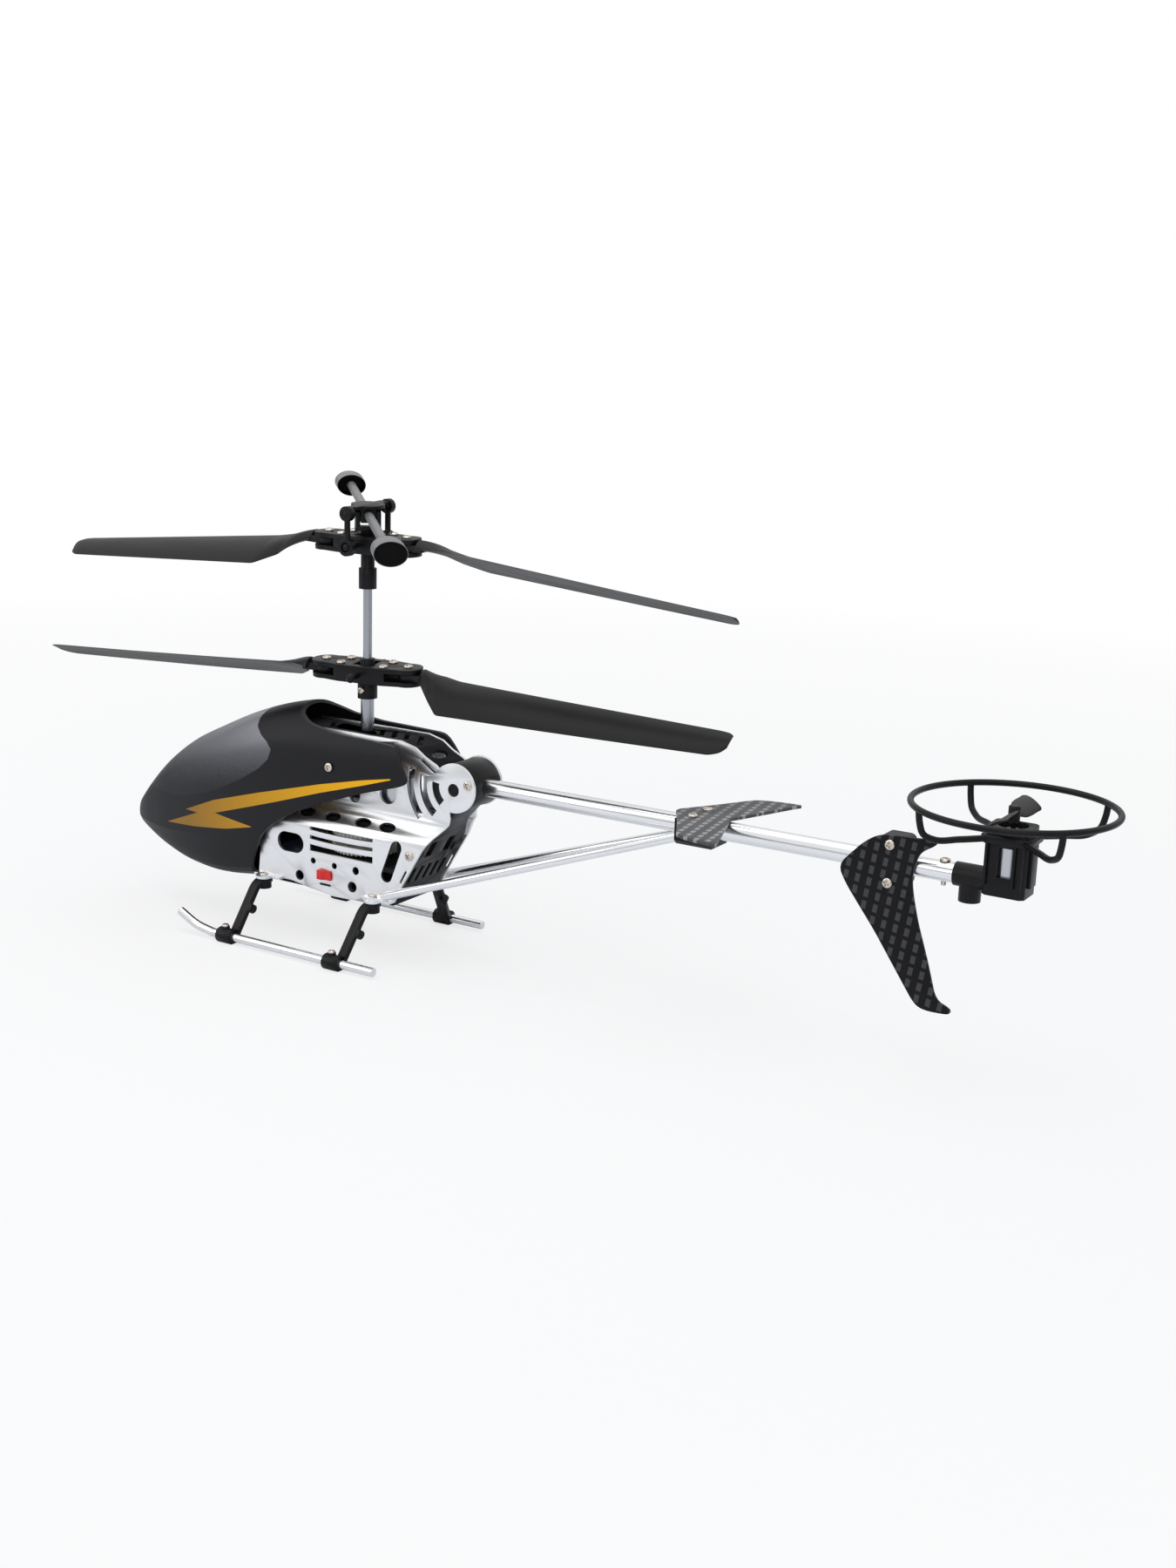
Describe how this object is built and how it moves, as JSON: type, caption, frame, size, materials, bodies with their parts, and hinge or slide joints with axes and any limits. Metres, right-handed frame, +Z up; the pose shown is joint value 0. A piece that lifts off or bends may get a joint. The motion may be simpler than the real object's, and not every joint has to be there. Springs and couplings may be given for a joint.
{
  "type": "remote control helicopter",
  "caption": "Coaxial remote control helicopter with folded metal side plates, plastic canopy, skids, flybar and ringed tail rotor",
  "frame": {"origin": "centre of the whole craft's box, on the floor", "axes": "+X towards the nose, +Y towards the left side, +Z up"},
  "size_m": [0.3954, 0.1064, 0.1577],
  "materials": {
    "sheet_aluminium": "polished sheet",
    "black_plastic": "satin moulded",
    "motor_steel": "satin can",
    "battery_wrap": "shrink wrap",
    "board_green": "solder mask",
    "red_plastic": "moulded",
    "canopy_shell": "satin paint",
    "screw_steel": "nickel plated",
    "tube_aluminium": "polished tube",
    "carbon_plate": "woven pattern",
    "shaft_steel": "ground",
    "gear_nylon": "moulded nylon",
    "pinion_brass": "cut",
    "blade_plastic": "fine satin",
    "flybar_metal": "satin grey"
  },
  "bodies": {
    "airframe": {"plate_left": "sheet_aluminium", "plate_right": "sheet_aluminium", "top_deck": "black_plastic", "boom_clamp": "black_plastic", "rear_cover": "black_plastic", "belly_tray": "black_plastic", "gearbox": "black_plastic", "motor_front": "motor_steel", "motor_rear": "motor_steel", "battery_pack": "battery_wrap", "circuit_board": "board_green", "charge_socket": "black_plastic", "switch_body": "black_plastic", "canopy": "canopy_shell", "body_screws": "screw_steel", "leg_front_left": "black_plastic", "leg_front_right": "black_plastic", "leg_rear_left": "black_plastic", "leg_rear_right": "black_plastic", "leg_screws": "screw_steel", "skid_left": "tube_aluminium", "skid_right": "tube_aluminium", "tail_boom": "tube_aluminium", "strut_left": "tube_aluminium", "strut_right": "tube_aluminium", "stabilizer_clamp": "black_plastic", "stabilizer": "carbon_plate", "fin_clamp": "black_plastic", "tail_fin": "carbon_plate", "tail_screws": "screw_steel", "tail_housing": "black_plastic", "tail_guard": "black_plastic", "tail_motor": "motor_steel"},
    "switch": {"switch_knob": "red_plastic"},
    "outer_rotor": {"outer_shaft": "shaft_steel", "outer_gear": "gear_nylon", "hub_carrier": "black_plastic", "collar_screw": "screw_steel"},
    "inner_rotor": {"inner_shaft": "shaft_steel", "inner_gear": "gear_nylon", "rotor_head": "black_plastic"},
    "rear_pinion": {"pinion_rear": "pinion_brass"},
    "front_pinion": {"pinion_front": "pinion_brass"},
    "tail_prop": {"tail_rotor": "black_plastic"},
    "lower_head": {"lower_hub": "black_plastic", "lower_hub_screws": "screw_steel"},
    "upper_head": {"upper_hub": "black_plastic", "upper_hub_screws": "screw_steel"},
    "lower_blade_front": {"blade_lower_front": "blade_plastic"},
    "lower_blade_rear": {"blade_lower_rear": "blade_plastic"},
    "upper_blade_front": {"blade_upper_front": "blade_plastic"},
    "upper_blade_rear": {"blade_upper_rear": "blade_plastic"},
    "flybar": {"flybar_rod": "flybar_metal", "flybar_yoke": "black_plastic", "flybar_weights": "flybar_metal"},
    "left_link": {"link_left": "black_plastic"},
    "right_link": {"link_right": "black_plastic"}
  },
  "joints": [
    {"name": "outer_spin", "type": "hinge", "parent": "airframe", "child": "outer_rotor", "pos_m": [0.05979, 0, 0.08], "axis": [0, 0, 1], "continuous": true},
    {"name": "inner_spin", "type": "hinge", "parent": "airframe", "child": "inner_rotor", "pos_m": [0.05979, 0, 0.08], "axis": [0, 0, 1], "continuous": true},
    {"name": "rear_pinion_spin", "type": "hinge", "parent": "airframe", "child": "rear_pinion", "pos_m": [0.04604, 0, 0.04], "axis": [0, 0, 1], "continuous": true},
    {"name": "front_pinion_spin", "type": "hinge", "parent": "airframe", "child": "front_pinion", "pos_m": [0.07354, 0, 0.035], "axis": [0, 0, 1], "continuous": true},
    {"name": "tail_spin", "type": "hinge", "parent": "airframe", "child": "tail_prop", "pos_m": [-0.16801, 0, 0.08], "axis": [0, 0, 1], "continuous": true},
    {"name": "switch_slide", "type": "slide", "parent": "airframe", "child": "switch", "axis": [1, 0, 0], "range_m": [-0.001, 0.001]},
    {"name": "lower_feather", "type": "hinge", "parent": "outer_rotor", "child": "lower_head", "pos_m": [0.05979, 0, 0.0956], "axis": [0.9921, 0.1253, 0], "range_deg": [-3, 13]},
    {"name": "upper_feather", "type": "hinge", "parent": "inner_rotor", "child": "upper_head", "pos_m": [0.05979, 0, 0.1389], "axis": [0.9999, 0.0157, 0], "range_deg": [-4.14, 10.56]},
    {"name": "flybar_teeter", "type": "hinge", "parent": "inner_rotor", "child": "flybar", "pos_m": [0.05979, 0, 0.1485], "axis": [-0.7193, -0.6947, 0], "range_deg": [-14.4, 5.6]},
    {"name": "left_link_swing", "type": "hinge", "parent": "flybar", "child": "left_link", "pos_m": [0.05956, 0.01106, 0.14928], "axis": [-0.7193, -0.6947, 0], "range_deg": [-5.65, 14.45]},
    {"name": "right_link_swing", "type": "hinge", "parent": "flybar", "child": "right_link", "pos_m": [0.05987, -0.0109, 0.15051], "axis": [-0.7193, -0.6947, 0], "range_deg": [-5.65, 14.45]},
    {"name": "lower_front_lag", "type": "hinge", "parent": "lower_head", "child": "lower_blade_front", "pos_m": [0.07566, 0.002, 0.0956], "axis": [-0.0109, 0.0865, 0.9962], "range_deg": [-13.4, 16.6]},
    {"name": "lower_rear_lag", "type": "hinge", "parent": "lower_head", "child": "lower_blade_rear", "pos_m": [0.04392, -0.002, 0.0956], "axis": [-0.0109, 0.0865, 0.9962], "range_deg": [-8.3, 21.7]},
    {"name": "upper_front_lag", "type": "hinge", "parent": "upper_head", "child": "upper_blade_front", "pos_m": [0.07579, 0.00025, 0.1389], "axis": [-0.0009, 0.056, 0.9984], "range_deg": [-12.9, 17.1]},
    {"name": "upper_rear_lag", "type": "hinge", "parent": "upper_head", "child": "upper_blade_rear", "pos_m": [0.04379, -0.00025, 0.1389], "axis": [-0.0009, 0.056, 0.9984], "range_deg": [-13.4, 16.6]}
  ],
  "couplings": [
    {"joint": "rear_pinion_spin", "follows": "outer_spin", "ratio": -5.1111},
    {"joint": "front_pinion_spin", "follows": "inner_spin", "ratio": -5.1111},
    {"joint": "upper_feather", "follows": "flybar_teeter", "ratio": -0.73016},
    {"joint": "left_link_swing", "follows": "flybar_teeter", "ratio": -1},
    {"joint": "right_link_swing", "follows": "flybar_teeter", "ratio": -1}
  ]
}
